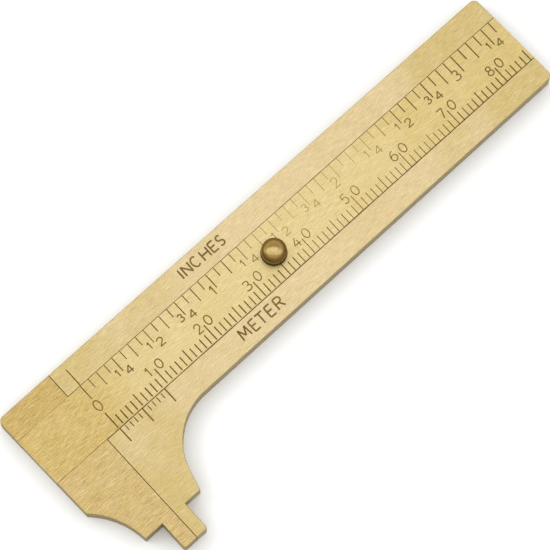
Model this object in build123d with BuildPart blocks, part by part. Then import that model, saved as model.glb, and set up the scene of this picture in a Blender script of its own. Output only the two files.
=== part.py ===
from build123d import *
from math import asin, degrees, radians, tan
import os

# Pocket slide caliper in brass.  A flat frame plate carries the fixed jaw, and a dovetailed bar,
# brazed into a second plate with the other jaw, runs in a channel along the frame.
# Millimetres.  +X runs along the scales away from the jaws, the jaws point to -Y, and +Z comes out
# of the graduated face.  The back lies on Z = 0, and the origin is under the middle of the closed
# caliper's outline.

# Outline of the closed caliper, whose long edges taper a little towards the right end
half_length = 49.215
half_height = 16.65
thickness = 3.3
body_width = 17.7
top_taper = 0.17
lower_taper = 0.36
left_end_lean = 0.0214
right_end_lean = 0.0241
corner_radius = 0.9
edge_break = 0.12

# Jaws
parting_x = -38.965
jaw_gap = 0.06
shoulder_y = -11.65
head_nib_width = 2.42
frame_nib_width = 2.1
nib_corner_radius = 0.4
shoulder_corner_radius = 0.35
frame_sweep_radius = 10.0
frame_sweep_x = -23.245
frame_flank_lean = 15.6
head_sweep_radius = 13.15
head_sweep_centre = (-57.925, -12.35)
head_sweep_end = 46

# Dovetailed bar and its channel
bar_y = 7.8
bar_width = 8.8
bar_foot_width = 10.5
bar_thickness = 2.0
bar_land = 0.25
bar_foot_height = 0.3
running_gap = 0.05

# Graduations: zero line, pitches and line lengths, measured from the edge of the bar
zero_x = -36.535
groove_depth = 0.06
metric_line = 0.2
metric_pitch = 1.0
metric_marks = 85
metric_start = 0.25
metric_end = {"short": 2.0, "middle": 2.5, "long": 3.3}
inch_line = 0.16
inch_pitch = 25.4 / 16
inch_marks = 53
inch_start = 0.1
inch_end = {"short": 1.65, "long": 2.55}
vernier_line = 0.2
vernier_pitch = 0.9
vernier_marks = 10
vernier_end = {"short": 1.2, "long": 2.7}
index_line = 0.25
index_end = 3.25

# Thumb knob, turned in one piece with the shank that is peened over behind the bar
knob_x = -1.165
knob_y = 7.65
knob_skirt_radius = 2.06
knob_skirt_height = 0.4
knob_neck_radius = 1.86
knob_neck_height = 0.62
knob_body_radius = 1.96
knob_shoulder_height = 1.85
knob_crown_radius = 1.28
knob_crown_height = 2.58
knob_height = 2.75
shank_radius = 0.9
peened_radius = 1.3
peened_recess = 0.08

# Bowed friction spring, lying in a pocket in the channel's floor
spring_x = -22.1
spring_length = 23.0
spring_width = 3.0
spring_thickness = 0.15
spring_gap = 0.03
pocket_length = 24.0
pocket_width = 3.5
pocket_depth = 0.6

# Worked out from the values above
top_y = half_height
lower_y = top_y - body_width
right_top_y = top_y - top_taper
right_lower_y = lower_y + lower_taper
tip_y = -half_height
frame_left = parting_x + jaw_gap / 2
head_right = parting_x - jaw_gap / 2
bar_bottom = thickness - bar_thickness
channel_floor = bar_bottom - running_gap
bar_low_edge = bar_y - bar_width / 2
bar_high_edge = bar_y + bar_width / 2
right_top_x = half_length - right_end_lean * (right_top_y - right_lower_y)
frame_sweep_centre = (frame_sweep_x, lower_y - frame_sweep_radius)
head_sweep_start = degrees(asin((shoulder_y - head_sweep_centre[1]) / head_sweep_radius))


def left_end(y):
    """The leaning left end of the closed caliper, as X at the height y."""
    return -half_length + left_end_lean * (top_y - y)


def dovetail(gap, crown):
    """Section of the bar with a gap added all round, open to the height crown."""
    half_width = bar_width / 2 + gap
    half_foot = bar_foot_width / 2 + gap
    land_z = thickness - bar_land
    foot_z = bar_bottom + bar_foot_height
    floor_z = bar_bottom - gap
    with BuildSketch() as section:
        with BuildLine():
            Polyline(
                (bar_y - half_foot, floor_z),
                (bar_y + half_foot, floor_z),
                (bar_y + half_foot, foot_z),
                (bar_y + half_width, land_z),
                (bar_y + half_width, crown),
                (bar_y - half_width, crown),
                (bar_y - half_width, land_z),
                (bar_y - half_foot, foot_z),
                close=True,
            )
        make_face()
    return section.sketch


def line_places(marks, pitch, edge, direction, start, end):
    """Centres of a set of scale lines that run from start to end off the edge at y."""
    middle = edge + direction * (start + end) / 2
    return [(zero_x + pitch * mark, middle) for mark in marks]


# Frame plate with the fixed jaw
with BuildPart() as frame_plate:
    with BuildSketch() as frame_outline:
        with BuildLine():
            frame_sweep = CenterArc(frame_sweep_centre, frame_sweep_radius, 90, 90 - frame_flank_lean)
            flank_drop = (frame_sweep @ 1).Y - shoulder_y
            frame_shoulder_x = (frame_sweep @ 1).X - flank_drop * tan(radians(frame_flank_lean))
            nib_x = frame_left + frame_nib_width
            Polyline(frame_sweep @ 1, (frame_shoulder_x, shoulder_y), (nib_x, shoulder_y),
                     (nib_x, tip_y), (frame_left, tip_y), (frame_left, top_y),
                     (right_top_x, right_top_y), (half_length, right_lower_y), frame_sweep @ 0)
        make_face()
        shoulder_corner = frame_outline.vertices().sort_by_distance((frame_shoulder_x, shoulder_y))[0]
        fillet(frame_outline.vertices().sort_by(Axis.X)[-2:], corner_radius)
        fillet(frame_outline.vertices().sort_by_distance((nib_x, tip_y))[0], nib_corner_radius)
        fillet(shoulder_corner, shoulder_corner_radius)
    extrude(amount=thickness)
    frame_rims = frame_plate.edges().filter_by(Plane.XY)
    chamfer(frame_rims.filter_by(lambda edge: edge.center().X > frame_left + 0.01), edge_break)
    with BuildSketch(Plane.YZ.offset(-half_length)):
        add(dovetail(running_gap, thickness + 1))
    extrude(amount=2 * half_length + 1, mode=Mode.SUBTRACT)
    with BuildSketch(Plane.XY.offset(channel_floor)):
        with Locations((spring_x, bar_y)):
            RectangleRounded(pocket_length, pocket_width, pocket_width / 3)
    extrude(amount=-pocket_depth, mode=Mode.SUBTRACT)
    with BuildSketch(Plane.XY.offset(thickness)):
        for kind, step in {"short": 1, "long": 5}.items():
            marks = range(0, vernier_marks + 1, step)
            with Locations(*line_places(marks, vernier_pitch, bar_low_edge, -1, 0, vernier_end[kind])):
                Rectangle(vernier_line, vernier_end[kind])
        with Locations(*line_places([0], 0, bar_high_edge, 1, 0, index_end)):
            Rectangle(index_line, index_end)
    extrude(amount=-groove_depth, mode=Mode.SUBTRACT)
frame_plate.part.label = "frame_plate"

# Head plate with the sliding jaw
with BuildPart() as head_plate:
    with BuildSketch() as head_outline:
        with BuildLine():
            head_sweep = CenterArc(head_sweep_centre, head_sweep_radius, head_sweep_start,
                                   head_sweep_end - head_sweep_start)
            head_nib_x = head_right - head_nib_width
            Polyline(head_sweep @ 1, (left_end(top_y), top_y), (head_right, top_y), (head_right, tip_y),
                     (head_nib_x, tip_y), (head_nib_x, shoulder_y), head_sweep @ 0)
        make_face()
        fillet(head_outline.vertices().sort_by_distance((left_end(top_y), top_y))[0], corner_radius)
        fillet(head_outline.vertices().sort_by_distance((head_nib_x, tip_y))[0], nib_corner_radius)
        head_shoulder_corner = head_outline.vertices().sort_by_distance(head_sweep @ 0)[0]
        fillet(head_shoulder_corner, shoulder_corner_radius / 2)
    extrude(amount=thickness)
    head_rims = head_plate.edges().filter_by(Plane.XY)
    chamfer(head_rims.filter_by(lambda edge: edge.center().X < head_right - 0.01), edge_break)
    with BuildSketch(Plane.YZ.offset(-half_length - 1)):
        add(dovetail(0, thickness + 1))
    extrude(amount=half_length, mode=Mode.SUBTRACT)
head_plate.part.label = "head_plate"

# Slide bar, with millimetres along its lower edge and sixteenths of an inch along its upper edge
with BuildPart() as slide_bar:
    with BuildSketch(Plane.YZ.offset(-half_length - 1)):
        add(dovetail(0, thickness))
    extrude(amount=2 * half_length + 2)
    with BuildSketch():
        with BuildLine():
            Polyline((left_end(lower_y), lower_y), (half_length, right_lower_y),
                     (right_top_x, right_top_y), (left_end(top_y), top_y), close=True)
        make_face()
    extrude(amount=thickness, mode=Mode.INTERSECT)
    with BuildSketch(Plane.XY.offset(thickness)):
        metric_groups = {
            "short": [mark for mark in range(metric_marks + 1) if mark % 5],
            "middle": range(5, metric_marks + 1, 10),
            "long": range(0, metric_marks + 1, 10),
        }
        for kind, marks in metric_groups.items():
            end = metric_end[kind]
            with Locations(*line_places(marks, metric_pitch, bar_low_edge, 1, metric_start, end)):
                Rectangle(metric_line, end - metric_start)
        for kind, first in {"short": 1, "long": 0}.items():
            end = inch_end[kind]
            marks = range(first, inch_marks + 1, 2)
            with Locations(*line_places(marks, inch_pitch, bar_high_edge, -1, inch_start, end)):
                Rectangle(inch_line, end - inch_start)
    extrude(amount=-groove_depth, mode=Mode.SUBTRACT)
    with Locations((knob_x, knob_y, thickness)):
        Hole(shank_radius)
    countersink = slide_bar.edges().filter_by(GeomType.CIRCLE).sort_by(Axis.Z)[0]
    chamfer(countersink, peened_radius - shank_radius)
slide_bar.part.label = "slide_bar"

# Thumb knob
with BuildPart() as thumb_knob:
    knob_plane = Plane(origin=(knob_x, knob_y, 0), x_dir=(1, 0, 0), z_dir=(0, -1, 0))
    with BuildSketch(knob_plane):
        with BuildLine():
            skirt_z = thickness + knob_skirt_height
            neck_z = thickness + knob_neck_height
            shoulder_z = thickness + knob_shoulder_height
            crown_z = thickness + knob_crown_height
            peened_rise = peened_radius - shank_radius
            peened_face_radius = peened_radius - peened_recess
            outer = Polyline(
                (0, bar_bottom + peened_recess),
                (peened_face_radius, bar_bottom + peened_recess),
                (shank_radius, bar_bottom + peened_rise),
                (shank_radius, thickness),
                (knob_skirt_radius, thickness),
                (knob_skirt_radius, skirt_z - 0.1),
                (knob_neck_radius, skirt_z),
                (knob_neck_radius, neck_z),
                (knob_body_radius, neck_z + 0.1),
                (knob_body_radius, shoulder_z),
            )
            TangentArc(outer @ 1, (knob_crown_radius, crown_z), tangent=(0, 1))
            crown = TangentArc((0, thickness + knob_height), (knob_crown_radius, crown_z), tangent=(1, 0))
            Line(crown @ 0, outer @ 0)
        make_face()
    revolve(axis=Axis((knob_x, knob_y, 0), (0, 0, 1)))
thumb_knob.part.label = "thumb_knob"

# Friction spring, bowed up from the pocket's floor to just under the bar
with BuildPart() as friction_spring:
    spring_foot = channel_floor - pocket_depth + 0.01
    spring_crown = bar_bottom - spring_gap
    with BuildSketch(Plane(origin=(spring_x, bar_y, 0), x_dir=(1, 0, 0), z_dir=(0, -1, 0))):
        with BuildLine():
            half_spring = spring_length / 2
            under = ThreePointArc((-half_spring, spring_foot), (0, spring_crown - spring_thickness),
                                  (half_spring, spring_foot))
            over = ThreePointArc((-half_spring, spring_foot + spring_thickness), (0, spring_crown),
                                 (half_spring, spring_foot + spring_thickness))
            Line(under @ 0, over @ 0)
            Line(under @ 1, over @ 1)
        make_face()
    extrude(amount=spring_width / 2, both=True)
friction_spring.part.label = "friction_spring"

export_step(frame_plate.part, "parts/frame_plate.step")
export_step(head_plate.part, "parts/head_plate.step")
export_step(slide_bar.part, "parts/slide_bar.step")
export_step(thumb_knob.part, "parts/thumb_knob.step")
export_step(friction_spring.part, "parts/friction_spring.step")
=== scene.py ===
import math
import random

import bmesh
import bpy
from mathutils import Matrix, Quaternion, Vector


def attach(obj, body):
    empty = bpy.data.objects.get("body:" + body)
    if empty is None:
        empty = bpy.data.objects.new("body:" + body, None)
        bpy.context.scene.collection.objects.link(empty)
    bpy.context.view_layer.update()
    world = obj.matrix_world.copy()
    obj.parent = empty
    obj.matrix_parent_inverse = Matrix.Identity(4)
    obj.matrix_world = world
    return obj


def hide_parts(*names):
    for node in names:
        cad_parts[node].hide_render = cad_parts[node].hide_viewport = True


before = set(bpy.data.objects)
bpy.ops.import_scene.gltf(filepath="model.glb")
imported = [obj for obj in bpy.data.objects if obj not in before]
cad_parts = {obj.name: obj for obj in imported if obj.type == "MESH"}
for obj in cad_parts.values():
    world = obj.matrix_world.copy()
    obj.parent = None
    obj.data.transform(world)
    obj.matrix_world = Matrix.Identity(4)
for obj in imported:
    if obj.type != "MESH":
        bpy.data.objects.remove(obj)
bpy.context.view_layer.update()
print("frame loaded")

# All shaping is done in millimetres and brought to metres at the end of each piece.
millimetre = 0.001
nearly = 0.001  # places closer than this, in millimetres, count as one

plate = {
    "faceHeight": 3.3,    # graduated face
    "skimHeight": 3.15,   # everything above this is cut off and made again, clean
    "zeroX": -36.535,     # zero line of both scales
    "partingX": -38.965,  # where the closed jaws meet
    "barLow": 3.4,        # edges of the bar on the face
    "barHigh": 12.2,
    "edgeRounding": 0.14, "roundingSteps": 3,
    # shares of the rounding along the joints between the pieces, and at the bar's ends
    "seamShare": 0.45, "upperSeamShare": 0.16, "headSeamShare": 0.03, "partingShare": 0.22,
    "barEndShare": 0.7,
    "mergeDistance": 0.002, "flatAngle": math.radians(0.8), "smoothAngle": math.radians(18),
}


def addNode(tree, kind, inputs=None, **settings):
    node = tree.nodes.new(kind)
    for name, value in settings.items():
        setattr(node, name, value)
    for socket, value in (inputs or {}).items():
        if isinstance(value, bpy.types.NodeSocket):
            tree.links.new(value, node.inputs[socket])
        else:
            node.inputs[socket].default_value = value
    return node


def mathNode(tree, operation, first, second=0.0, clamp=False):
    node = addNode(tree, "ShaderNodeMath", {0: first, 1: second}, operation=operation, use_clamp=clamp)
    return node.outputs[0]


def plus(tree, first, second):
    return mathNode(tree, "ADD", first, second)


def minus(tree, first, second):
    return mathNode(tree, "SUBTRACT", first, second)


def times(tree, first, second):
    return mathNode(tree, "MULTIPLY", first, second)


def rampBetween(tree, value, low, high, toLow=0.0, toHigh=1.0, smooth=True):
    return addNode(tree, "ShaderNodeMapRange", {
        "Value": value, "From Min": low, "From Max": high, "To Min": toLow, "To Max": toHigh,
    }, interpolation_type="SMOOTHSTEP" if smooth else "LINEAR").outputs["Result"]


def vectorNode(tree, operation, inputs):
    node = addNode(tree, "ShaderNodeVectorMath", inputs, operation=operation)
    return node.outputs[1] if operation in ("LENGTH", "DOT_PRODUCT") else node.outputs[0]


def joined(tree, x=0.0, y=0.0, z=0.0):
    return addNode(tree, "ShaderNodeCombineXYZ", {0: x, 1: y, 2: z}).outputs[0]


def parted(tree, vector):
    return addNode(tree, "ShaderNodeSeparateXYZ", {0: vector}).outputs


def turnedAboutZ(tree, vector, angle):
    node = addNode(tree, "ShaderNodeVectorRotate", {"Vector": vector, "Angle": angle}, rotation_type="Z_AXIS")
    return node.outputs[0]


def mixNumbers(tree, amount, first, second):
    return addNode(tree, "ShaderNodeMix", {0: amount, 2: first, 3: second}).outputs[0]


def mixColours(tree, amount, first, second):
    return addNode(tree, "ShaderNodeMix", {0: amount, 6: first, 7: second}, data_type="RGBA").outputs[2]


def noiseNode(tree, vector, scale, detail):
    node = addNode(tree, "ShaderNodeTexNoise", {"Vector": vector, "Scale": scale, "Detail": detail})
    return node.outputs[0]


def placeOnPiece(tree):
    return addNode(tree, "ShaderNodeTexCoord").outputs["Object"]


def layOut(tree):
    # columns from right to left, by how far each node is from the end of its tree
    column = {node.name: 0 for node in tree.nodes}
    for _ in tree.nodes:
        for link in tree.links:
            column[link.from_node.name] = max(column[link.from_node.name], column[link.to_node.name] + 1)
    rows = {}
    for node in tree.nodes:
        row = rows.get(column[node.name], 0)
        node.location = (-220 * column[node.name], -190 * row)
        rows[column[node.name]] = row + 1
    return tree


def colour(red, green, blue):
    # display values 0-255 to the linear values that sockets take
    def linear(value):
        value /= 255
        return value / 12.92 if value <= 0.04045 else ((value + 0.055) / 1.055) ** 2.4
    return (linear(red), linear(green), linear(blue), 1.0)


socketTypes = {float: "NodeSocketFloat", int: "NodeSocketInt", bool: "NodeSocketBool"}


def newGroup(name, kind, inputs, outputs):
    # each input is given by its usual value, or by the word Geometry or Material
    tree = bpy.data.node_groups.new(name, kind)
    for label, value in inputs.items():
        if isinstance(value, str):
            tree.interface.new_socket(label, in_out="INPUT", socket_type="NodeSocket" + value)
        else:
            socket = tree.interface.new_socket(label, in_out="INPUT", socket_type=socketTypes[type(value)])
            socket.default_value = value
    for label, value in outputs.items():
        tree.interface.new_socket(label, in_out="OUTPUT", socket_type="NodeSocket" + value)
    return tree, tree.nodes.new("NodeGroupInput").outputs, tree.nodes.new("NodeGroupOutput").inputs


brushing = {"broadStretch": (0.45, 0.4, 0.4), "broadShare": 0.14, "speckleShare": 0.3, "speckleScale": 5200.0}


def makeBrushedLines():
    # fine straight grain along X: Tone runs round 0.5, Height feeds a bump
    tree, take, give = newGroup("brushedLines", "ShaderNodeTree", {
        "Length": 3.0, "Pitch": 0.12, "Offset": 0.0,
    }, {"Tone": "Float", "Height": "Float"})
    coords = placeOnPiece(tree)
    inMillimetres = vectorNode(tree, "SCALE", {0: coords, "Scale": 1 / millimetre})
    along = mathNode(tree, "DIVIDE", 1.0, take["Length"])
    across = mathNode(tree, "DIVIDE", 1.0, take["Pitch"])
    streaks = vectorNode(tree, "MULTIPLY_ADD", {
        0: inMillimetres, 1: joined(tree, along, across, across),
        2: joined(tree, take["Offset"], take["Offset"]),
    })
    fine = noiseNode(tree, streaks, 1.0, 2.0)
    broad = noiseNode(tree, vectorNode(tree, "MULTIPLY", {0: streaks, 1: brushing["broadStretch"]}), 1.0, 2.0)
    speckle = noiseNode(tree, coords, brushing["speckleScale"], 1.0)
    lines = mixNumbers(tree, brushing["broadShare"], fine, broad)
    tree.links.new(mixNumbers(tree, brushing["speckleShare"], lines, speckle), give["Tone"])
    tree.links.new(fine, give["Height"])
    return layOut(tree)


def makeStrayScratches():
    # few, longer marks at a slant to the grain
    tree, take, give = newGroup("strayScratches", "ShaderNodeTree", {
        "Angle": 0.1, "Length": 4.0, "Width": 0.12, "Rarity": 0.7, "Softness": 0.08,
    }, {"Mask": "Float"})
    turned = turnedAboutZ(tree, placeOnPiece(tree), take["Angle"])
    along = mathNode(tree, "DIVIDE", 1 / millimetre, take["Length"])
    across = mathNode(tree, "DIVIDE", 1 / millimetre, take["Width"])
    placed = vectorNode(tree, "MULTIPLY", {0: turned, 1: joined(tree, along, across, across)})
    top = plus(tree, take["Rarity"], take["Softness"])
    tree.links.new(rampBetween(tree, noiseNode(tree, placed, 1.0, 1.0), take["Rarity"], top), give["Mask"])
    return layOut(tree)


def makeHandledPatches():
    # soft clouds a few millimetres across
    tree, take, give = newGroup("handledPatches", "ShaderNodeTree", {
        "Size": 8.0, "Seed": 0.0, "From": 0.32, "To": 0.68,
    }, {"Mask": "Float"})
    scale = mathNode(tree, "DIVIDE", 1 / millimetre, take["Size"])
    clouds = addNode(tree, "ShaderNodeTexNoise", {
        "Vector": vectorNode(tree, "SCALE", {0: placeOnPiece(tree), "Scale": scale}),
        "W": take["Seed"], "Scale": 1.0, "Detail": 4.0, "Roughness": 0.6,
    }, noise_dimensions="4D")
    tree.links.new(rampBetween(tree, clouds.outputs[0], take["From"], take["To"]), give["Mask"])
    return layOut(tree)


def makeWornAway():
    # painted broad highlight: 0 near a centre and 1 far from it, measured along X, along Y or a blend of both
    tree, take, give = newGroup("highlightFalloffRamp", "ShaderNodeTree", {
        "Centre X": 0.0, "Centre Y": 0.0, "Along X": 1.0, "Along Y": 1.0, "Near": 10.0, "Far": 40.0,
    }, {"Amount": "Float"})
    inMillimetres = vectorNode(tree, "SCALE", {0: placeOnPiece(tree), "Scale": 1 / millimetre})
    centre = joined(tree, take["Centre X"], take["Centre Y"])
    offCentre = vectorNode(tree, "SUBTRACT", {0: inMillimetres, 1: centre})
    shared = vectorNode(tree, "MULTIPLY", {0: offCentre, 1: joined(tree, take["Along X"], take["Along Y"])})
    away = vectorNode(tree, "LENGTH", {0: shared})
    tree.links.new(rampBetween(tree, away, take["Near"], take["Far"]), give["Amount"])
    return layOut(tree)


def makeWallMask():
    # 1 on the upright sides of a plate, 0 on its flat faces
    tree, take, give = newGroup("wallMask", "ShaderNodeTree", {"Upright Below": 0.45, "Flat Above": 0.97},
                                {"Wall": "Float"})
    facing = addNode(tree, "ShaderNodeTexCoord").outputs["Normal"]
    tilt = mathNode(tree, "ABSOLUTE", parted(tree, facing)[2])
    tree.links.new(rampBetween(tree, tilt, take["Upright Below"], take["Flat Above"], 1.0, 0.0), give["Wall"])
    return layOut(tree)


def makeSeamGrime():
    # dirt that sits along a joint line at one Y, or at one X, wider in some places than in others
    tree, take, give = newGroup("seamGrime", "ShaderNodeTree", {
        "Line": 0.0, "Across X": 0.0, "Width": 0.1, "Narrowest": 0.55, "Widest": 1.25,
    }, {"Mask": "Float"})
    coords = placeOnPiece(tree)
    parts = parted(tree, coords)
    chosen = mixNumbers(tree, take["Across X"], parts[1], parts[0])
    away = mathNode(tree, "ABSOLUTE", minus(tree, times(tree, chosen, 1 / millimetre), take["Line"]))
    patches = noiseNode(tree, coords, 260.0, 3.0)
    spread = rampBetween(tree, patches, 0.3, 0.7, take["Narrowest"], take["Widest"])
    reach = times(tree, take["Width"], spread)
    tree.links.new(rampBetween(tree, away, 0.0, reach, 1.0, 0.0), give["Mask"])
    return layOut(tree)


brushedLines = makeBrushedLines()
strayScratches = makeStrayScratches()
handledPatches = makeHandledPatches()
highlightFalloffRamp = makeWornAway()
wallMask = makeWallMask()
seamGrime = makeSeamGrime()
print("shared effects made")


def placeGroup(tree, group, values):
    node = addNode(tree, "ShaderNodeGroup", node_tree=group)
    for name, value in values.items():
        node.inputs[name].default_value = value
    return node.outputs


def newMaterial(name):
    material = bpy.data.materials.new(name)
    material.use_nodes = True
    tree = material.node_tree
    return material, tree, tree.nodes["Principled BSDF"].inputs


brassLook = {
    "cloudiness": 0.8, "grainSwing": 4.5, "brightness": 0.99, "grimeShare": 0.85,
    "scratch": colour(226, 208, 168),
    "scratchMarks": {"Angle": 0.14, "Length": 3.0, "Width": 0.14, "Rarity": 0.64},
    "grainLow": 0.3, "grainHigh": 0.7, "smoother": 0.06, "rougher": 0.1, "wallRoughness": 0.55,
    "bumpStrength": 0.16, "bumpDistance": 0.00002,
}
frameFinish = {
    "pale": colour(201, 181, 138), "deep": colour(190, 169, 113), "wallShade": colour(156, 141, 104),
    "grime": colour(92, 68, 20), "roughness": 0.36, "scratches": 0.4, "seed": 1.7,
    "grain": {"Length": 1.5, "Pitch": 0.11}, "grainContrast": 0.33,
    "highlightFalloff": {"Centre X": 3.0, "Centre Y": -12.0, "Along X": 1.0, "Along Y": 0.6, "Near": 18.0, "Far": 48.0},
    "patchSize": 9.0,
    "seams": ((plate["barLow"], 0.0, 0.16), (plate["barHigh"], 0.0, 0.05), (plate["partingX"], 1.0, 0.09)),
}
headFinish = {
    "pale": colour(190, 166, 113), "deep": colour(184, 158, 98), "wallShade": colour(146, 129, 92),
    "grime": colour(92, 68, 20), "roughness": 0.38, "scratches": 0.5, "seed": 4.1,
    "grain": {"Length": 1.8, "Pitch": 0.11}, "grainContrast": 0.5,
    "highlightFalloff": {"Centre X": -44.0, "Centre Y": -12.0, "Along X": 0.3, "Along Y": 1.0, "Near": 12.0, "Far": 26.0},
    "patchSize": 6.0,
    "seams": ((plate["barLow"], 0.0, 0.02), (plate["barHigh"], 0.0, 0.04), (plate["partingX"], 1.0, 0.08)),
}
barFinish = {
    "pale": colour(200, 181, 130), "deep": colour(194, 172, 114), "wallShade": colour(146, 129, 92),
    "grime": colour(92, 68, 20), "roughness": 0.34, "scratches": 0.35, "seed": 8.3,
    "grain": {"Length": 1.6, "Pitch": 0.11}, "grainContrast": 0.33, "grainInHead": 0.5,
    "highlightFalloff": {"Centre X": -6.0, "Centre Y": 8.0, "Along X": 1.0, "Along Y": 0.0, "Near": 12.0, "Far": 48.0},
    "patchSize": 7.0,
    "seams": ((plate["barLow"], 0.0, 0.15), (plate["barHigh"], 0.0, 0.05)),
}
headTone = {  # the bar is as yellow as the head inside it and pales over a few millimetres past the jaws
    "pale": colour(191, 167, 109), "deep": colour(185, 160, 98),
    "from": plate["partingX"] + 1.0, "reach": 9.0,
}


def brushedBrass(name, finish, nearHead=None):
    material, tree, shader = newMaterial(name)
    grain = placeGroup(tree, brushedLines, {**finish["grain"], "Offset": finish["seed"]})
    clouds = placeGroup(tree, handledPatches, {"Size": finish["patchSize"], "Seed": finish["seed"]})[0]
    # painted highlight: the face is paler near a centre and deeper away from it
    highlightFalloff = placeGroup(tree, highlightFalloffRamp, finish["highlightFalloff"])[0]
    scratches = placeGroup(tree, strayScratches, brassLook["scratchMarks"])[0]
    walls = placeGroup(tree, wallMask, {})[0]
    cloudy = times(tree, minus(tree, clouds, 0.5), brassLook["cloudiness"])
    paleness = mathNode(tree, "SUBTRACT", 1.0, plus(tree, highlightFalloff, cloudy), clamp=True)
    body = mixColours(tree, paleness, finish["deep"], finish["pale"])
    strength = finish["grainContrast"]
    if nearHead:
        yellow = mixColours(tree, clouds, nearHead["deep"], nearHead["pale"])
        alongBar = times(tree, parted(tree, placeOnPiece(tree))[0], 1 / millimetre)
        beyond = minus(tree, alongBar, nearHead["from"])
        body = mixColours(tree, rampBetween(tree, beyond, 0.0, nearHead["reach"]), yellow, body)
        strength = rampBetween(tree, beyond, 0.0, nearHead["reach"], finish["grainInHead"], strength)
    swing = times(tree, minus(tree, grain["Tone"], 0.5), brassLook["grainSwing"])
    tone = plus(tree, times(tree, swing, strength), brassLook["brightness"])
    toned = vectorNode(tree, "SCALE", {0: body, "Scale": tone})
    bright = mixColours(tree, times(tree, scratches, finish["scratches"]), toned, brassLook["scratch"])
    # painted shade: the upright sides take a darker colour than the face
    wallShaded = mixColours(tree, walls, bright, finish["wallShade"])
    grime = 0.0
    for line, acrossX, width in finish["seams"]:
        seam = placeGroup(tree, seamGrime, {"Line": line, "Across X": acrossX, "Width": width})[0]
        grime = mathNode(tree, "MAXIMUM", grime, seam)
    soiled = mixColours(tree, times(tree, grime, brassLook["grimeShare"]), wallShaded, finish["grime"])
    tree.links.new(soiled, shader["Base Color"])
    smoothest = finish["roughness"] - brassLook["smoother"]
    roughest = finish["roughness"] + brassLook["rougher"]
    rough = rampBetween(tree, grain["Tone"], brassLook["grainLow"], brassLook["grainHigh"],
                        smoothest, roughest, smooth=False)
    sideRough = times(tree, walls, brassLook["wallRoughness"])
    tree.links.new(mathNode(tree, "MAXIMUM", rough, sideRough), shader["Roughness"])
    shader["Metallic"].default_value = 1.0
    bump = addNode(tree, "ShaderNodeBump", {
        "Strength": brassLook["bumpStrength"], "Distance": brassLook["bumpDistance"],
        "Height": grain["Height"],
    })
    tree.links.new(bump.outputs[0], shader["Normal"])
    layOut(tree)
    return material


rubbedInner = 0.45  # share of a rubbed stretch that is worn evenly before it fades out
grooveFinish = {
    "dark": colour(108, 82, 26), "pale": colour(172, 144, 78), "metallic": 0.55, "roughness": 0.62,
    "clouds": {"Size": 2.5, "Seed": 3.0}, "cloudShare": 0.3,
    "rubbedMiddle": 11.0, "rubbedReach": 20.0, "rubbedAbove": 5.5, "rubbedFully": 8.6,
    "rubbedOnFrame": 0.0, "rubbedOnBar": 0.75,
}


def engravedBrass(name, rubbedAmount):
    # the darkened bottoms of the engraved lines, rubbed pale along the middle of the bar
    material, tree, shader = newMaterial(name)
    clouds = placeGroup(tree, handledPatches, grooveFinish["clouds"])[0]
    parts = parted(tree, vectorNode(tree, "SCALE", {0: placeOnPiece(tree), "Scale": 1 / millimetre}))
    away = mathNode(tree, "ABSOLUTE", minus(tree, parts[0], grooveFinish["rubbedMiddle"]))
    reach = grooveFinish["rubbedReach"]
    alongBar = rampBetween(tree, away, reach * rubbedInner, reach, 1.0, 0.0)
    across = rampBetween(tree, parts[1], grooveFinish["rubbedAbove"], grooveFinish["rubbedFully"],
                         0.0, rubbedAmount)
    patchy = times(tree, clouds, grooveFinish["cloudShare"])
    amount = mathNode(tree, "ADD", times(tree, alongBar, across), patchy, clamp=True)
    tree.links.new(mixColours(tree, amount, grooveFinish["dark"], grooveFinish["pale"]), shader["Base Color"])
    shader["Metallic"].default_value = grooveFinish["metallic"]
    shader["Roughness"].default_value = grooveFinish["roughness"]
    layOut(tree)
    return material


frameBrass = brushedBrass("frameBrass", frameFinish)
headBrass = brushedBrass("headBrass", headFinish)
barBrass = brushedBrass("barBrass", barFinish, headTone)
frameEngraving = engravedBrass("frameEngraving", grooveFinish["rubbedOnFrame"])
barEngraving = engravedBrass("barEngraving", grooveFinish["rubbedOnBar"])
print("brass finishes made")


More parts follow.
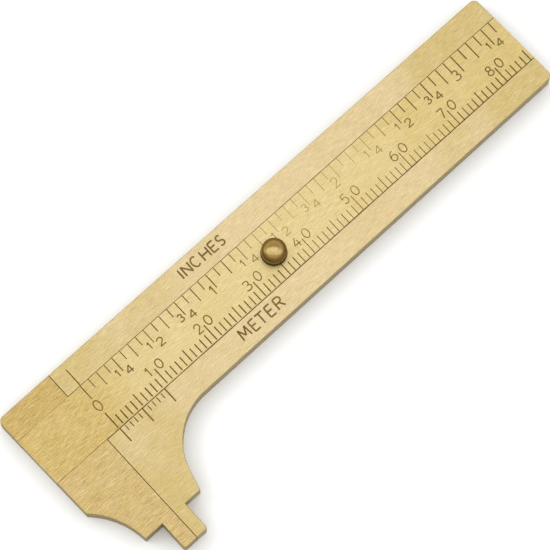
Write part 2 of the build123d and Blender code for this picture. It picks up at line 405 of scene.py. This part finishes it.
def cleanPlate(nodeName, edgeShare, brass):
    # a copy of the node with a fresh, unmarked face, and a rounding weight on each rim
    body = bmesh.new()
    body.from_mesh(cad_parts[nodeName].data)
    bmesh.ops.scale(body, vec=(1 / millimetre,) * 3, verts=body.verts)
    bmesh.ops.remove_doubles(body, verts=body.verts, dist=plate["mergeDistance"])
    everything = body.verts[:] + body.edges[:] + body.faces[:]
    bmesh.ops.bisect_plane(body, geom=everything, plane_co=(0, 0, plate["skimHeight"]), plane_no=(0, 0, 1),
                           clear_outer=True)
    rim = [edge for edge in body.edges if edge.is_boundary]
    bmesh.ops.triangle_fill(body, edges=rim, use_beauty=True, normal=(0, 0, 1))
    for vert in body.verts:
        if vert.co.z > plate["skimHeight"] - nearly:
            vert.co.z = plate["faceHeight"]
    bmesh.ops.dissolve_limit(body, angle_limit=plate["flatAngle"], verts=body.verts, edges=body.edges)
    everything = body.verts[:] + body.edges[:] + body.faces[:]
    bmesh.ops.bisect_plane(body, geom=everything, plane_co=(plate["partingX"], 0, 0), plane_no=(1, 0, 0))
    bmesh.ops.recalc_face_normals(body, faces=body.faces)
    weights = body.edges.layers.float.new("bevel_weight_edge")
    for edge in body.edges:
        if len(edge.link_faces) != 2 or min(v.co.z for v in edge.verts) < plate["faceHeight"] - nearly:
            continue
        upright, flat = sorted(abs(face.normal.z) for face in edge.link_faces)
        if upright < 0.1 and flat > 0.9:
            edge[weights] = edgeShare(edge)
    mesh = bpy.data.meshes.new(nodeName + "Clean")
    body.to_mesh(mesh)
    body.free()
    mesh.materials.append(brass)
    piece = bpy.data.objects.new(nodeName + "Clean", mesh)
    bpy.context.collection.objects.link(piece)
    rounding = piece.modifiers.new("rounding", "BEVEL")
    rounding.limit_method = "WEIGHT"
    rounding.width = plate["edgeRounding"]
    rounding.segments = plate["roundingSteps"]
    return piece


def middleOf(edge):
    return (edge.verts[0].co + edge.verts[1].co) / 2


def runsAlongX(edge):
    return abs(edge.verts[0].co.y - edge.verts[1].co.y) < nearly


def seamShareAt(middle):
    if middle.x < plate["partingX"]:
        return plate["headSeamShare"]
    nearUpper = abs(middle.y - plate["barHigh"]) < abs(middle.y - plate["barLow"])
    return plate["upperSeamShare"] if nearUpper else plate["seamShare"]


def rimShare(edge):
    middle = middleOf(edge)
    if abs(middle.x - plate["partingX"]) < 0.1:
        return plate["partingShare"]
    nearSeam = min(abs(middle.y - plate["barLow"]), abs(middle.y - plate["barHigh"])) < 0.2
    return seamShareAt(middle) if nearSeam and runsAlongX(edge) else 1.0


def barShare(edge):
    return seamShareAt(middleOf(edge)) if runsAlongX(edge) else plate["barEndShare"]


# the cutting tool, in shares of a line's depth and width
graver = {"tall": 1.3, "sunk": 0.35, "taper": 0.6, "footWidth": 0.4, "topWidth": 1.18, "pressure": 2.0}


def geometryNode(tree, kind, inputs=None, **settings):
    return addNode(tree, "GeometryNode" + kind, inputs, **settings).outputs[0]


def realizeInMaterial(tree, shape, material, end):
    solid = geometryNode(tree, "RealizeInstances", {0: shape})
    tree.links.new(geometryNode(tree, "SetMaterial", {"Geometry": solid, "Material": material}), end)
    return layOut(tree)


def makeScaleLines():
    # a row of tapered cutters, one for each line of a scale
    tree, take, give = newGroup("scaleLines", "GeometryNodeTree", {
        "Geometry": "Geometry", "Marks": 10, "Pitch": 1.0, "Start X": 0.0, "Start Y": 0.0, "Face Height": 3.3,
        "Points Down": False, "Short": 1.5, "Middle": 2.0, "Long": 3.0, "Middle Every": 5, "Long Every": 10,
        "Line Width": 0.2, "Long Width": 1.0, "Depth": 0.09, "Unevenness": 0.05, "Short Gap": 0.0,
        "Drift From": 0.0, "Drift To": 1.0, "Drift": 0.0, "Far From": 0.0, "Far To": 1.0, "Far Growth": 1.0,
        "Rubbed Middle": 0.0, "Rubbed Reach": 1.0, "Rubbed Share": 1.0, "Seed": 0, "Material": "Material",
    }, {"Geometry": "Geometry"})
    row = geometryNode(tree, "MeshLine", {
        "Count": plus(tree, take["Marks"], 1.0), "Offset": joined(tree, take["Pitch"]),
        "Start Location": joined(tree, take["Start X"], take["Start Y"], take["Face Height"]),
    }, mode="OFFSET")
    # one cutter: unit width and length, narrowing to its bottom and standing a little above the face
    corner = parted(tree, geometryNode(tree, "InputPosition"))
    height = minus(tree, times(tree, corner[2], graver["tall"]), graver["sunk"])
    narrowed = times(tree, corner[0], plus(tree, times(tree, height, graver["taper"]), 1.0))
    cutter = geometryNode(tree, "SetPosition", {
        "Geometry": geometryNode(tree, "MeshCube", {"Size": (1.0, 1.0, 1.0)}),
        "Position": joined(tree, narrowed, plus(tree, corner[1], 0.5), height),
    })
    # its length from its place in the row
    index = geometryNode(tree, "InputIndex")
    isMiddle = mathNode(tree, "LESS_THAN", mathNode(tree, "MODULO", index, take["Middle Every"]), 0.5)
    isLong = mathNode(tree, "LESS_THAN", mathNode(tree, "MODULO", index, take["Long Every"]), 0.5)
    shortOrMiddle = mixNumbers(tree, isMiddle, take["Short"], take["Middle"])
    wander = addNode(tree, "FunctionNodeRandomValue", {"Seed": take["Seed"]}, data_type="FLOAT").outputs[1]
    swing = times(tree, minus(tree, wander, 0.5), take["Unevenness"])
    where = parted(tree, geometryNode(tree, "InputPosition"))[0]
    far = rampBetween(tree, where, take["Far From"], take["Far To"], 1.0, take["Far Growth"])
    evenLength = times(tree, mixNumbers(tree, isLong, shortOrMiddle, take["Long"]), far)
    # the row drifts off its edge along the scale, and its short lines may start clear of the edge
    drift = rampBetween(tree, where, take["Drift From"], take["Drift To"], 0.0, take["Drift"], smooth=False)
    gap = times(tree, minus(tree, 1.0, isLong), take["Short Gap"])
    offEdge = joined(tree, 0.0, plus(tree, drift, gap))
    shifted = geometryNode(tree, "SetPosition", {"Geometry": row, "Offset": offEdge})
    # thinner and shallower where the bar has been rubbed
    away = mathNode(tree, "ABSOLUTE", minus(tree, where, take["Rubbed Middle"]))
    weight = rampBetween(tree, away, times(tree, take["Rubbed Reach"], rubbedInner), take["Rubbed Reach"],
                         take["Rubbed Share"], 1.0)
    pressed = times(tree, weight, plus(tree, times(tree, swing, graver["pressure"]), 1.0))
    bold = mixNumbers(tree, isLong, 1.0, take["Long Width"])
    lineWidth = times(tree, times(tree, take["Line Width"], bold), far)
    rowOfCutters = geometryNode(tree, "InstanceOnPoints", {
        "Points": shifted, "Instance": cutter,
        "Rotation": joined(tree, z=times(tree, take["Points Down"], math.pi)),
        "Scale": joined(tree, times(tree, lineWidth, pressed), plus(tree, evenLength, swing),
                        times(tree, take["Depth"], pressed)),
    })
    return realizeInMaterial(tree, rowOfCutters, take["Material"], give[0])


def makeGraverStrokes():
    # turns the centre lines of numerals and letters into tapered cutters
    tree, take, give = newGroup("graverStrokes", "GeometryNodeTree", {
        "Geometry": "Geometry", "Line Width": 0.2, "Depth": 0.09, "Material": "Material",
    }, {"Geometry": "Geometry"})
    section = geometryNode(tree, "CurvePrimitiveQuadrilateral", {
        "Bottom Width": times(tree, take["Line Width"], graver["footWidth"]),
        "Top Width": times(tree, take["Line Width"], graver["topWidth"]),
        "Offset": 0.0, "Height": times(tree, take["Depth"], graver["tall"]),
    }, mode="TRAPEZOID")
    lowered = joined(tree, 0.0, times(tree, take["Depth"], -graver["sunk"]))
    swept = geometryNode(tree, "CurveToMesh", {
        "Curve": geometryNode(tree, "SetCurveNormal", {0: take["Geometry"]}, mode="Z_UP"),
        "Profile Curve": geometryNode(tree, "SetPosition", {"Geometry": section, "Offset": lowered}),
        "Scale": geometryNode(tree, "InputRadius"), "Fill Caps": True,
    })
    return realizeInMaterial(tree, swept, take["Material"], give[0])


scaleLines = makeScaleLines()
graverStrokes = makeGraverStrokes()


def giveTree(piece, tree, values):
    shaper = piece.modifiers.new(tree.name, "NODES")
    shaper.node_group = tree
    byName = {item.name: item.identifier for item in tree.interface.items_tree if item.in_out == "INPUT"}
    for name, value in values.items():
        shaper[byName[name]] = value


def plainMesh(piece, name):
    graph = bpy.context.evaluated_depsgraph_get()
    mesh = bpy.data.meshes.new_from_object(piece.evaluated_get(graph), depsgraph=graph)
    mesh.name = name
    return mesh


metricScale = {
    "Marks": 85, "Pitch": 1.0, "Start X": plate["zeroX"], "Start Y": plate["barLow"] + 0.24,
    "Short": 1.75, "Middle": 2.25, "Long": 2.95, "Middle Every": 5, "Long Every": 10,
    "Line Width": 0.195, "Depth": 0.1, "Unevenness": 0.08, "Points Down": False,
    "Drift From": plate["zeroX"] + 12, "Drift To": plate["zeroX"] + 85, "Drift": -0.42,
    "Rubbed Middle": 17.0, "Rubbed Reach": 24.0, "Rubbed Share": 0.62, "Seed": 3,
}
inchScale = {
    "Marks": 53, "Pitch": 25.4 / 16, "Start X": plate["zeroX"], "Start Y": plate["barHigh"] - 0.06,
    "Short": 1.6, "Middle": 2.5, "Long": 2.55, "Middle Every": 2, "Long Every": 4,
    "Line Width": 0.158, "Depth": 0.08, "Unevenness": 0.1, "Points Down": True,
    "Far From": plate["zeroX"] + 58, "Far To": plate["zeroX"] + 80, "Far Growth": 1.24,
    "Rubbed Middle": 10.0, "Rubbed Reach": 19.0, "Rubbed Share": 0.46, "Seed": 7,
}
vernierScale = {
    "Marks": 10, "Pitch": 0.9, "Start X": plate["zeroX"] + 0.1, "Start Y": plate["barLow"] - 0.02,
    "Short": 0.95, "Middle": 2.62, "Long": 2.62, "Middle Every": 5, "Long Every": 5, "Short Gap": -0.22,
    "Line Width": 0.155, "Long Width": 1.4, "Depth": 0.09, "Unevenness": 0.1, "Points Down": True, "Seed": 11,
}
indexLine = {
    "Marks": 0, "Start X": plate["zeroX"] + 0.1, "Start Y": plate["barHigh"] - 0.02, "Long": 3.3,
    "Line Width": 0.18, "Depth": 0.08, "Unevenness": 0.0, "Points Down": False, "Seed": 1,
}


def lineCutters(name, settings, material):
    piece = bpy.data.objects.new(name, bpy.data.meshes.new(name))
    bpy.context.collection.objects.link(piece)
    giveTree(piece, scaleLines, {**settings, "Face Height": plate["faceHeight"], "Material": material})
    return piece


# Single-stroke numerals and letters on a unit square: each stroke is a list of points
def oval(middleX, middleY, halfWidth, halfHeight, fromDegrees, toDegrees, steps=14):
    sweep = toDegrees - fromDegrees
    turns = [math.radians(fromDegrees + sweep * step / steps) for step in range(steps + 1)]
    return [(middleX + halfWidth * math.cos(turn), middleY + halfHeight * math.sin(turn)) for turn in turns]


glyphs = {
    "0": [oval(0.5, 0.5, 0.46, 0.5, 90, 448, 22)],
    "1": [[(0.18, 0.72), (0.52, 1.0), (0.52, 0.0)]],
    "2": [oval(0.5, 0.7, 0.4, 0.3, 170, -30) + [(0.06, 0.0), (0.96, 0.0)]],
    "3": [oval(0.42, 0.76, 0.4, 0.24, 155, -85), oval(0.42, 0.27, 0.5, 0.27, 85, -155)],
    "4": [[(0.62, 1.0), (0.0, 0.3), (1.0, 0.3)], [(0.72, 0.68), (0.72, 0.0)]],
    "closed 4": [[(0.72, 0.0), (0.72, 1.0), (0.0, 0.3), (1.0, 0.3)]],
    "5": [[(0.88, 1.0), (0.2, 1.0), (0.12, 0.55)] + oval(0.46, 0.33, 0.42, 0.33, 130, -145)],
    "6": [oval(0.68, 0.36, 0.64, 0.64, 80, 172, 12), oval(0.5, 0.32, 0.46, 0.32, 180, 538, 20)],
    "7": [[(0.06, 1.0), (0.94, 1.0), (0.36, 0.0)]],
    "8": [oval(0.5, 0.76, 0.33, 0.24, -90, 268, 18), oval(0.5, 0.27, 0.43, 0.27, 90, 448, 18)],
    "I": [[(0.5, 0.0), (0.5, 1.0)]],
    "N": [[(0.04, 0.0), (0.04, 1.0), (0.94, 0.0), (0.94, 1.0)]],
    "C": [oval(0.52, 0.5, 0.48, 0.5, 48, 312, 16)],
    "H": [[(0.04, 0.0), (0.04, 1.0)], [(0.96, 0.0), (0.96, 1.0)], [(0.04, 0.52), (0.96, 0.52)]],
    "E": [[(0.95, 1.0), (0.05, 1.0), (0.05, 0.0), (0.95, 0.0)], [(0.05, 0.52), (0.82, 0.52)]],
    "S": [oval(0.5, 0.75, 0.42, 0.25, 35, 260, 12) + oval(0.5, 0.25, 0.44, 0.25, 80, -150, 12)],
    "M": [[(0.02, 0.0), (0.1, 1.0), (0.5, 0.25), (0.9, 1.0), (0.98, 0.0)]],
    "T": [[(0.0, 1.0), (1.0, 1.0)], [(0.5, 1.0), (0.5, 0.0)]],
    "R": [[(0.04, 0.0), (0.04, 1.0), (0.5, 1.0)] + oval(0.52, 0.75, 0.4, 0.25, 80, -80, 8) + [(0.04, 0.5)],
          [(0.5, 0.5), (0.98, 0.0)]],
}

numerals = {
    "metricSize": (1.1, 1.55), "metricBase": 6.0, "metricSink": -0.4,
    "tensOffset": -0.95, "unitsOffset": 1.05, "zeroPlace": (-0.02, 7.27), "zeroSize": (1.15, 1.8),
    "inchSize": (1.1, 1.62), "inchOffsets": (-0.72, -1.15, -1.35), "inchBase": 8.9,
    "numeratorSize": (0.85, 1.2), "numeratorOffset": -0.85, "numeratorBase": 9.2,
    "denominatorSize": (1.12, 1.3), "denominatorOffset": 0.9, "denominatorBase": 8.5, "inchSink": -0.4,
    "rubbedMiddle": 9.5, "rubbedReach": 19.0, "inchShare": 0.6, "metricShare": 0.78,
    "fadeRate": 2.2, "fadeStart": 1.2, "inchAbove": 8.0, "lineWidth": 0.2, "depth": 0.085, "seed": 21,
}
fractionSigns = {1: ("1", "closed 4"), 2: ("1", "2"), 3: ("3", "closed 4")}  # quarters of an inch
words = {
    "upper": {"base": 13.8, "height": 1.7, "letters": (
        ("I", 22.2, 23.1), ("N", 23.2, 24.6), ("C", 25.0, 26.3), ("H", 26.85, 28.2), ("E", 28.7, 29.8),
        ("S", 30.2, 31.2))},
    "lower": {"base": 0.6, "height": 1.85, "letters": (
        ("M", 22.9, 24.5), ("E", 25.1, 26.2), ("T", 26.5, 27.9), ("E", 28.35, 29.5), ("R", 30.0, 31.3))},
    "lineWidth": 0.27, "depth": 0.1, "seed": 5,
}
handwork = {"lean": 0.03, "sideways": 0.05, "upwards": 0.06, "liftAngle": math.radians(50)}


def cutAtCorners(places):
    # the graver is lifted at each sharp corner, so a stroke ends there and a new one begins
    run = places[:2]
    for before, at, after in zip(places, places[1:], places[2:]):
        turn = (Vector(at) - Vector(before)).angle(Vector(after) - Vector(at), 0.0)
        if turn > handwork["liftAngle"]:
            yield run
            run = [at]
        run.append(after)
    yield run


def strokesOf(sign, left, base, width, height, weight, hand):
    # the sign's strokes in millimetres, with a slightly unsteady hand
    def unsteady(most):
        return hand.uniform(-most, most)
    lean = unsteady(handwork["lean"])
    nudge = Vector((unsteady(handwork["sideways"]), unsteady(handwork["upwards"])))
    for stroke in glyphs[sign]:
        places = [(left + width * px + height * py * lean + nudge.x, base + height * py + nudge.y)
                  for px, py in stroke]
        for run in cutAtCorners(places):
            yield run, weight


def barSigns():
    hand = random.Random(numerals["seed"])
    zero = plate["zeroX"]
    signs = []

    def put(sign, middle, base, size):
        away = abs(middle - numerals["rubbedMiddle"]) / numerals["rubbedReach"]
        share = numerals["inchShare"] if base > numerals["inchAbove"] else numerals["metricShare"]
        weight = share + (1 - share) * min(1.0, max(0.0, away * numerals["fadeRate"] - numerals["fadeStart"]))
        signs.extend(strokesOf(sign, middle - size[0] / 2, base, size[0], size[1], weight, hand))

    put("0", zero + numerals["zeroPlace"][0], numerals["zeroPlace"][1], numerals["zeroSize"])
    for ten in range(1, 9):
        base = numerals["metricBase"] + numerals["metricSink"] * (ten - 1) / 7
        put(str(ten), zero + 10 * ten + numerals["tensOffset"], base, numerals["metricSize"])
        put("0", zero + 10 * ten + numerals["unitsOffset"], base, numerals["metricSize"])
    for quarter in range(1, 14):
        line = zero + 25.4 * quarter / 4
        sink = numerals["inchSink"] * quarter / 13
        if quarter % 4 == 0:
            inch = quarter // 4
            middle = line + numerals["inchOffsets"][inch - 1]
            put(str(inch), middle, numerals["inchBase"] + sink, numerals["inchSize"])
            continue
        for sign, part in zip(fractionSigns[quarter % 4], ("numerator", "denominator")):
            middle = line + numerals[part + "Offset"]
            put(sign, middle, numerals[part + "Base"] + sink, numerals[part + "Size"])
    return signs


def frameSigns():
    hand = random.Random(words["seed"])
    signs = []
    for word in (words["upper"], words["lower"]):
        for letter, left, right in word["letters"]:
            signs.extend(strokesOf(letter, plate["zeroX"] + left, word["base"], right - left, word["height"],
                                   1.0, hand))
    return signs


def strokeCutters(name, signs, settings, material):
    lines = bpy.data.curves.new(name, "CURVE")
    lines.dimensions = "3D"
    for places, weight in signs:
        spline = lines.splines.new("POLY")
        spline.points.add(len(places) - 1)
        for point, (px, py) in zip(spline.points, places):
            point.co = (px, py, plate["faceHeight"], 1.0)
            point.radius = weight
    centreLines = bpy.data.objects.new(name, lines)
    bpy.context.collection.objects.link(centreLines)
    giveTree(centreLines, graverStrokes, {
        "Line Width": settings["lineWidth"], "Depth": settings["depth"], "Material": material,
    })
    bpy.context.view_layer.update()
    mesh = plainMesh(centreLines, name + "Mesh")
    bpy.data.objects.remove(centreLines)
    cutters = bpy.data.objects.new(name, mesh)
    bpy.context.collection.objects.link(cutters)
    return cutters


def cutInto(piece, cutters, overlapping):
    for cutter in cutters + [overlapping]:
        cut = piece.modifiers.new(cutter.name, "BOOLEAN")
        cut.operation = "DIFFERENCE"
        cut.solver = "EXACT"
        cut.material_mode = "TRANSFER"
        cut.use_self = cutter == overlapping
        cut.object = cutter


def finishPiece(piece, name, nodeName, body):
    # evaluate everything, bring it to metres, and let it stand for the node
    mesh = plainMesh(piece, name)
    bpy.data.objects.remove(piece)
    mesh.transform(Matrix.Scale(millimetre, 4))
    mesh.shade_smooth()
    mesh.set_sharp_from_angle(angle=plate["smoothAngle"])
    for face in mesh.polygons:
        if abs(face.normal.z) > 0.999:
            face.use_smooth = False  # the faces of the plate stay flat beside their rounded rims
    finished = bpy.data.objects.new(name, mesh)
    bpy.context.collection.objects.link(finished)
    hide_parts(nodeName)
    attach(finished, body)
    print(name, "has", len(mesh.polygons), "faces")


framePiece = cleanPlate("frame_plate", rimShare, frameBrass)
frameCutters = [lineCutters("vernierCutters", vernierScale, frameEngraving),
                lineCutters("indexCutter", indexLine, frameEngraving)]
frameWords = strokeCutters("wordCutters", frameSigns(), words, frameEngraving)
cutInto(framePiece, frameCutters, frameWords)

barPiece = cleanPlate("slide_bar", barShare, barBrass)
barCutters = [lineCutters("metricCutters", metricScale, barEngraving),
              lineCutters("inchCutters", inchScale, barEngraving)]
barNumerals = strokeCutters("numeralCutters", barSigns(), numerals, barEngraving)
cutInto(barPiece, barCutters, barNumerals)

headPiece = cleanPlate("head_plate", rimShare, headBrass)
bpy.context.view_layer.update()

finishPiece(framePiece, "framePlate", "frame_plate", "frame")
finishPiece(barPiece, "slideBar", "slide_bar", "slide")
finishPiece(headPiece, "headPlate", "head_plate", "slide")
for cutter in frameCutters + barCutters + [frameWords, barNumerals]:
    bpy.data.objects.remove(cutter)
print("plates engraved")


knob = {
    "middle": (-1.165, 7.65), "segments": 128, "smoothAngle": math.radians(40), "mergeDistance": 0.0005,
    "bright": colour(203, 177, 122), "crownBesideHighlight": colour(150, 123, 72), "tarnishAndShade": colour(128, 101, 48),
    "shadeBelowCrown": colour(80, 58, 14), "roughness": 0.3, "smoother": 0.06, "rougher": 0.1,
    "ringPitch": 0.11, "pitScale": 4200.0, "pitShare": 0.35, "cloudShare": 0.25, "bumpStrength": 0.25,
    # heights between which the crown begins, and between which the darker painted shade below it ends
    "crownFrom": 5.83, "crownTo": 5.89, "shadeBelowFrom": 4.2, "shadeBelowTo": 5.5,
    # the painted highlight on the crown: turned, a little off the axis, wider than it is tall
    "highlightTurn": math.radians(43.8), "highlightMiddle": -0.3, "highlightTall": 0.7, "highlightWide": 1.4,
    "highlightInside": 0.55, "highlightOutside": 1.15, "clouds": {"Size": 1.6, "Seed": 6.0},
}
# turned outline as radius and height, from the peened end behind the bar to the crown
knobOutline = [
    (0.0, 1.38), (1.14, 1.38), (1.2, 1.41), (1.2, 1.43), (0.9, 1.7), (0.9, 3.3),  # peened end and shank
    (2.0, 3.3), (2.06, 3.34), (2.06, 3.58), (2.02, 3.63), (1.9, 3.7), (1.86, 3.75), (1.86, 3.9),  # collar
    (1.89, 3.96), (1.94, 4.0), (1.96, 4.06), (1.96, 5.1), (1.945, 5.24), (1.9, 5.39), (1.82, 5.54),
    (1.71, 5.67), (1.57, 5.78), (1.43, 5.85), (1.3, 5.885), (1.22, 5.885), (1.14, 5.905),  # rounded rim
    (0.95, 5.955), (0.9, 5.945), (0.84, 5.97), (0.6, 6.01), (0.3, 6.035), (0.0, 6.045),  # crown
]


def turnedKnob():
    middleX, middleY = knob["middle"]
    body = bmesh.new()
    ring = [body.verts.new((middleX + radius, middleY, height)) for radius, height in knobOutline]
    edges = [body.edges.new(pair) for pair in zip(ring, ring[1:])]
    bmesh.ops.spin(body, geom=ring + edges, cent=(middleX, middleY, 0), axis=(0, 0, 1), angle=2 * math.pi,
                   steps=knob["segments"], use_merge=True)
    bmesh.ops.remove_doubles(body, verts=body.verts, dist=knob["mergeDistance"])
    bmesh.ops.recalc_face_normals(body, faces=body.faces)
    bmesh.ops.scale(body, vec=(millimetre,) * 3, verts=body.verts)
    mesh = bpy.data.meshes.new("thumbKnob")
    body.to_mesh(mesh)
    body.free()
    mesh.shade_smooth()
    mesh.set_sharp_from_angle(angle=knob["smoothAngle"])
    piece = bpy.data.objects.new("thumbKnob", mesh)
    bpy.context.collection.objects.link(piece)
    return piece


def knobBrassFinish():
    material, tree, shader = newMaterial("knobBrass")
    coords = placeOnPiece(tree)
    centred = addNode(tree, "ShaderNodeMapping", {
        "Vector": coords, "Location": (-knob["middle"][0] * millimetre, -knob["middle"][1] * millimetre, 0),
    })
    parts = parted(tree, centred.outputs[0])
    flat = joined(tree, parts[0], parts[1])
    perRing = 1 / (millimetre * knob["ringPitch"])
    radius = vectorNode(tree, "LENGTH", {0: flat})
    ringPlace = joined(tree, times(tree, radius, perRing), times(tree, parts[2], perRing))
    rings = noiseNode(tree, ringPlace, 1.0, 2.0)
    clouds = placeGroup(tree, handledPatches, knob["clouds"])[0]
    height = times(tree, parts[2], 1 / millimetre)
    crown = rampBetween(tree, height, knob["crownFrom"], knob["crownTo"])
    low = rampBetween(tree, height, knob["shadeBelowFrom"], knob["shadeBelowTo"], 1.0, 0.0)
    # painted highlight: the bright colour inside a turned oval on the crown, the crown's plainer tone outside
    # it
    highlightParts = parted(tree, turnedAboutZ(tree, flat, knob["highlightTurn"]))
    wide = times(tree, highlightParts[0], 1 / (millimetre * knob["highlightWide"]))
    raised = minus(tree, highlightParts[1], knob["highlightMiddle"] * millimetre)
    tall = times(tree, raised, 1 / (millimetre * knob["highlightTall"]))
    fromHighlight = vectorNode(tree, "LENGTH", {0: joined(tree, wide, tall)})
    highlightFalloff = rampBetween(tree, fromHighlight, knob["highlightInside"], knob["highlightOutside"])
    highlightedCrown = mixColours(tree, highlightFalloff, knob["bright"], knob["crownBesideHighlight"])
    # painted shade: the sides below the crown are darker than its face, darkest low down
    shadedSide = mixColours(tree, low, knob["tarnishAndShade"], knob["shadeBelowCrown"])
    body = mixColours(tree, crown, shadedSide, highlightedCrown)
    shadowed = mixColours(tree, times(tree, clouds, knob["cloudShare"]), body, knob["tarnishAndShade"])
    turned = mixNumbers(tree, knob["pitShare"], rings, noiseNode(tree, coords, knob["pitScale"], 1.0))
    tone = rampBetween(tree, turned, 0.32, 0.68, 0.7, 1.2, smooth=False)
    tree.links.new(vectorNode(tree, "SCALE", {0: shadowed, "Scale": tone}), shader["Base Color"])
    rough = rampBetween(tree, rings, 0.3, 0.7, knob["roughness"] - knob["smoother"],
                        knob["roughness"] + knob["rougher"])
    tree.links.new(rough, shader["Roughness"])
    shader["Metallic"].default_value = 1.0
    bump = addNode(tree, "ShaderNodeBump", {
        "Strength": knob["bumpStrength"], "Distance": brassLook["bumpDistance"], "Height": rings,
    })
    tree.links.new(bump.outputs[0], shader["Normal"])
    layOut(tree)
    return material


thumbKnob = turnedKnob()
thumbKnob.data.materials.append(knobBrassFinish())
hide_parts("thumb_knob")
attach(thumbKnob, "slide")
print("knob turned")


springFinish = {
    "steel": colour(122, 124, 130), "blued": colour(84, 90, 108), "roughness": 0.32,
    "grain": {"Length": 4.0, "Pitch": 0.08, "Offset": 2.0}, "clouds": {"Size": 4.0, "Seed": 2.0},
}


def springSteel():
    material, tree, shader = newMaterial("springSteel")
    grain = placeGroup(tree, brushedLines, springFinish["grain"])
    clouds = placeGroup(tree, handledPatches, springFinish["clouds"])[0]
    body = mixColours(tree, clouds, springFinish["steel"], springFinish["blued"])
    tone = rampBetween(tree, grain["Tone"], 0.3, 0.7, 0.85, 1.1)
    tree.links.new(vectorNode(tree, "SCALE", {0: body, "Scale": tone}), shader["Base Color"])
    shader["Metallic"].default_value = 1.0
    shader["Roughness"].default_value = springFinish["roughness"]
    layOut(tree)
    return material


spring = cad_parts["friction_spring"]
spring.data.materials.clear()
spring.data.materials.append(springSteel())
print("spring finished")


studio = {
    "floorSize": 3.0, "floorDrop": -0.00002, "floorColour": colour(252, 252, 251), "floorRoughness": 0.9,
    "horizon": (0.58, 0.58, 0.58, 1.0), "overhead": (1.25, 1.25, 1.25, 1.0),
    "dimBelow": 0.28, "brightAbove": 0.64, "lean": (0.12, 0.13, 0.984),
    "keyPlace": (-0.30, 0.40, 0.45), "keySize": 0.4, "keyPower": 0.68,
    "fillPlace": (0.07, 0.06, 0.42), "fillSize": 0.16, "fillPower": 0.03,
}


def makeFloor():
    half, drop = studio["floorSize"] / 2, studio["floorDrop"]
    corners = [(-half, -half, drop), (half, -half, drop), (half, half, drop), (-half, half, drop)]
    mesh = bpy.data.meshes.new("floor")
    mesh.from_pydata(corners, [], [(0, 1, 2, 3)])
    floor = bpy.data.objects.new("floor", mesh)
    bpy.context.collection.objects.link(floor)
    paper, _, shader = newMaterial("floorPaper")
    shader["Base Color"].default_value = studio["floorColour"]
    shader["Roughness"].default_value = studio["floorRoughness"]
    mesh.materials.append(paper)


def softLight(name, place, size, power):
    lamp = bpy.data.lights.new(name, "AREA")
    lamp.shape = "DISK"
    lamp.size = size
    lamp.energy = power
    holder = bpy.data.objects.new(name, lamp)
    holder.location = place
    holder.rotation_euler = (-Vector(place)).to_track_quat("-Z", "Y").to_euler()
    bpy.context.collection.objects.link(holder)


def makeRoom():
    # a room that is bright overhead and dimmer towards the horizon
    world = bpy.data.worlds.new("paleRoom")
    world.use_nodes = True
    tree = world.node_tree
    direction = addNode(tree, "ShaderNodeTexCoord").outputs["Generated"]
    rise = vectorNode(tree, "DOT_PRODUCT", {0: direction, 1: studio["lean"]})
    height = rampBetween(tree, rise, studio["dimBelow"], studio["brightAbove"])
    sky = mixColours(tree, height, studio["horizon"], studio["overhead"])
    tree.links.new(sky, tree.nodes["Background"].inputs[0])
    layOut(tree)
    bpy.context.scene.world = world


makeFloor()
softLight("keyLight", studio["keyPlace"], studio["keySize"], studio["keyPower"])
softLight("fillLight", studio["fillPlace"], studio["fillSize"], studio["fillPower"])
makeRoom()
bpy.context.scene.view_settings.view_transform = "Standard"

viewpoint = {
    "target": (-0.003355, 0.00502, 0.0033), "azimuth": -43.89, "elevation": 77.72, "roll": 1.42,
    "distance": 0.5506, "lens": 238.0, "sensor": 36.0, "nearest": 0.01, "farthest": 20.0,
}


def makeCamera():
    camera = bpy.data.cameras.new("camera")
    camera.sensor_width = viewpoint["sensor"]
    camera.lens = viewpoint["lens"]
    camera.clip_start, camera.clip_end = viewpoint["nearest"], viewpoint["farthest"]
    holder = bpy.data.objects.new("camera", camera)
    turn, rise = math.radians(viewpoint["azimuth"]), math.radians(viewpoint["elevation"])
    back = Vector((math.sin(turn) * math.cos(rise), -math.cos(turn) * math.cos(rise), math.sin(rise)))
    holder.location = Vector(viewpoint["target"]) + back * viewpoint["distance"]
    holder.rotation_mode = "QUATERNION"
    level = (-back).to_track_quat("-Z", "Y")
    holder.rotation_quaternion = level @ Quaternion((0, 0, 1), math.radians(viewpoint["roll"]))
    bpy.context.collection.objects.link(holder)
    bpy.context.scene.camera = holder


makeCamera()
print("studio set")
